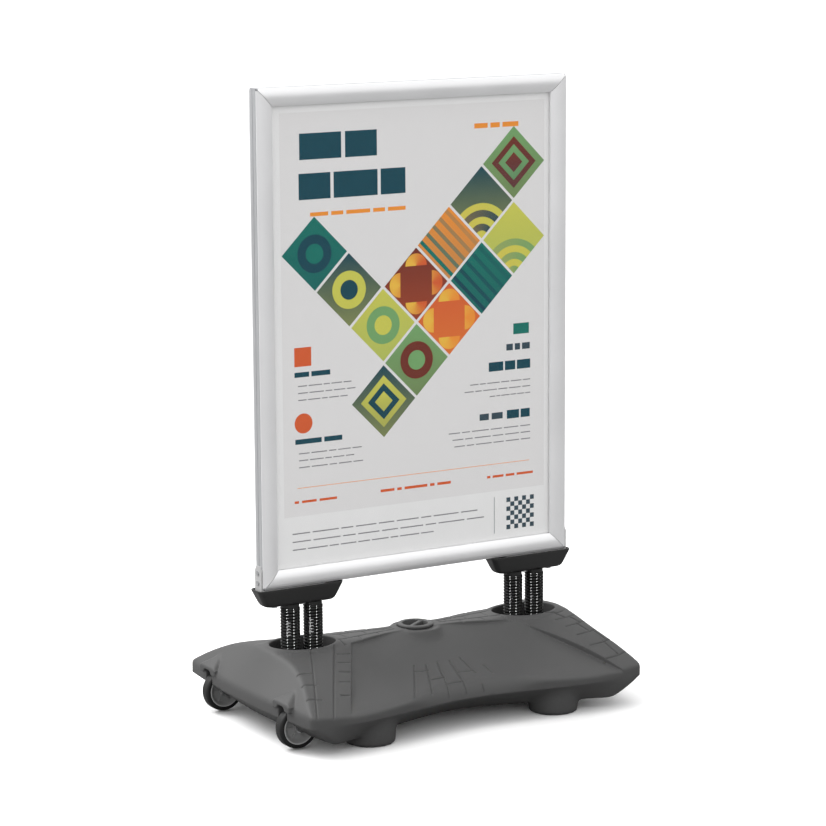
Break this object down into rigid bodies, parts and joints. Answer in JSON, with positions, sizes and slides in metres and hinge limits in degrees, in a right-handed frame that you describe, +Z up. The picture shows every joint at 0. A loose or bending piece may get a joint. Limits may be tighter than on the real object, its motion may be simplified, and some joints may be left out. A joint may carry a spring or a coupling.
{
  "type": "sandwich board",
  "caption": "Spring-mounted pavement sign: double-sided poster snap frame on coil springs over a water-filled tank base with transport wheels and a screw filler cap.",
  "frame": {"origin": "on the ground, under the centre of the poster frame and midway between the four feet", "axes": "+X along the width of the sign with the wheels at the -X end, -Y towards the front poster, +Z up"},
  "size_m": [0.7128, 0.4632, 1.1406],
  "materials": {
    "tank_plastic": "moulded polyethylene, satin with a fine grain",
    "bracket_plastic": "moulded black plastic, satin",
    "spring_steel": "black powder coat, semi-gloss",
    "plug_black": "black powder coat",
    "zinc_steel": "bright zinc plate",
    "insert_brass": "machined brass",
    "corner_plate_grey": "light grey paint",
    "frame_aluminium": "satin anodised",
    "key_diecast": "as die-cast",
    "leaf_steel": "spring steel strip",
    "backing_white": "white foamed board",
    "poster_print": "printed paper, satin",
    "cover_clear": "clear anti-glare plastic sheet",
    "cap_plastic": "moulded polyethylene, satin",
    "seal_rubber": "soft rubber",
    "tyre_rubber": "soft moulded rubber",
    "rim_plastic": "moulded light grey plastic"
  },
  "bodies": {
    "base": {"base_tank": "tank_plastic", "spring_anchor_left": "zinc_steel", "spring_anchor_right": "zinc_steel", "threaded_inserts_left": "insert_brass", "threaded_inserts_right": "insert_brass", "anchor_bolts_left": "zinc_steel", "anchor_bolts_right": "zinc_steel", "spring_left_left": "spring_steel", "spring_left_right": "spring_steel", "spring_right_left": "spring_steel", "spring_right_right": "spring_steel", "axle_front": "zinc_steel", "axle_back": "zinc_steel", "axle_washers_front": "zinc_steel", "axle_washers_back": "zinc_steel"},
    "panel": {"backing_panel": "backing_white", "bracket_left": "bracket_plastic", "bracket_right": "bracket_plastic", "bracket_spacers_left": "zinc_steel", "bracket_spacers_right": "zinc_steel", "bracket_strap_left": "zinc_steel", "bracket_strap_right": "zinc_steel", "corner_keys": "key_diecast", "corner_plate_left": "corner_plate_grey", "corner_plate_right": "corner_plate_grey", "corner_screws_left": "zinc_steel", "corner_screws_right": "zinc_steel", "cover_back": "cover_clear", "cover_front": "cover_clear", "frame_bolts_left": "zinc_steel", "frame_bolts_right": "zinc_steel", "frame_core_bottom": "frame_aluminium", "frame_core_left": "frame_aluminium", "frame_core_right": "frame_aluminium", "frame_core_top": "frame_aluminium", "leaf_springs_back": "leaf_steel", "leaf_springs_front": "leaf_steel", "plug_bolts_left": "zinc_steel", "plug_bolts_right": "zinc_steel", "poster_back": "poster_print", "poster_front": "poster_print", "spring_plugs_left": "plug_black", "spring_plugs_right": "plug_black"},
    "snap_front_top": {"snap_front_top": "frame_aluminium"},
    "snap_front_bottom": {"snap_front_bottom": "frame_aluminium"},
    "snap_front_left": {"snap_front_left": "frame_aluminium"},
    "snap_front_right": {"snap_front_right": "frame_aluminium"},
    "snap_back_top": {"snap_back_top": "frame_aluminium"},
    "snap_back_bottom": {"snap_back_bottom": "frame_aluminium"},
    "snap_back_left": {"snap_back_left": "frame_aluminium"},
    "snap_back_right": {"snap_back_right": "frame_aluminium"},
    "wheel_front": {"wheel_rim_front": "rim_plastic", "tyre_front": "tyre_rubber"},
    "wheel_back": {"wheel_rim_back": "rim_plastic", "tyre_back": "tyre_rubber"},
    "cap_seal": {"cap_seal": "seal_rubber"},
    "filler_cap": {"filler_cap": "cap_plastic"}
  },
  "joints": [
    {"name": "panel_sway", "type": "hinge", "parent": "base", "child": "panel", "pos_m": [0, 0, 0.15], "axis": [1, 0, 0], "range_deg": [-20, 20], "stiffness_Nm_per_rad": 400, "deforming": ["spring_left_left", "spring_left_right", "spring_right_left", "spring_right_right"]},
    {"name": "snap_front_top_open", "type": "hinge", "parent": "panel", "child": "snap_front_top", "pos_m": [0, -0.0122, 1.1388], "axis": [-1, 0, 0], "range_deg": [0, 75], "stiffness_Nm_per_rad": 0.03, "springref_deg": -20.05},
    {"name": "snap_front_bottom_open", "type": "hinge", "parent": "panel", "child": "snap_front_bottom", "pos_m": [0, -0.0122, 0.2574], "axis": [1, 0, 0], "range_deg": [0, 75], "stiffness_Nm_per_rad": 0.03, "springref_deg": -20.05},
    {"name": "snap_front_left_open", "type": "hinge", "parent": "panel", "child": "snap_front_left", "pos_m": [-0.3172, -0.0122, 0.6981], "axis": [0, 0, -1], "range_deg": [0, 75], "stiffness_Nm_per_rad": 0.03, "springref_deg": -20.05},
    {"name": "snap_front_right_open", "type": "hinge", "parent": "panel", "child": "snap_front_right", "pos_m": [0.3172, -0.0122, 0.6981], "axis": [0, 0, 1], "range_deg": [0, 75], "stiffness_Nm_per_rad": 0.03, "springref_deg": -20.05},
    {"name": "snap_back_top_open", "type": "hinge", "parent": "panel", "child": "snap_back_top", "pos_m": [0, 0.0122, 1.1388], "axis": [1, 0, 0], "range_deg": [0, 75], "stiffness_Nm_per_rad": 0.03, "springref_deg": -20.05},
    {"name": "snap_back_bottom_open", "type": "hinge", "parent": "panel", "child": "snap_back_bottom", "pos_m": [0, 0.0122, 0.2574], "axis": [-1, 0, 0], "range_deg": [0, 75], "stiffness_Nm_per_rad": 0.03, "springref_deg": -20.05},
    {"name": "snap_back_left_open", "type": "hinge", "parent": "panel", "child": "snap_back_left", "pos_m": [-0.3172, 0.0122, 0.6981], "axis": [0, 0, 1], "range_deg": [0, 75], "stiffness_Nm_per_rad": 0.03, "springref_deg": -20.05},
    {"name": "snap_back_right_open", "type": "hinge", "parent": "panel", "child": "snap_back_right", "pos_m": [0.3172, 0.0122, 0.6981], "axis": [0, 0, -1], "range_deg": [0, 75], "stiffness_Nm_per_rad": 0.03, "springref_deg": -20.05},
    {"name": "wheel_front_spin", "type": "hinge", "parent": "base", "child": "wheel_front", "pos_m": [-0.3244, -0.141, 0.04], "axis": [0, 1, 0], "continuous": true},
    {"name": "wheel_back_spin", "type": "hinge", "parent": "base", "child": "wheel_back", "pos_m": [-0.3244, 0.141, 0.04], "axis": [0, 1, 0], "continuous": true},
    {"name": "cap_lift", "type": "slide", "parent": "base", "child": "cap_seal", "axis": [0, 0, 1], "range_m": [0, 0.0091]},
    {"name": "cap_turn", "type": "hinge", "parent": "cap_seal", "child": "filler_cap", "pos_m": [0, 0, 0.15], "axis": [0, 0, 1], "range_deg": [0, 540]}
  ],
  "couplings": [
    {"joint": "cap_lift", "follows": "cap_turn", "m_per_rad": 0.00095493}
  ]
}
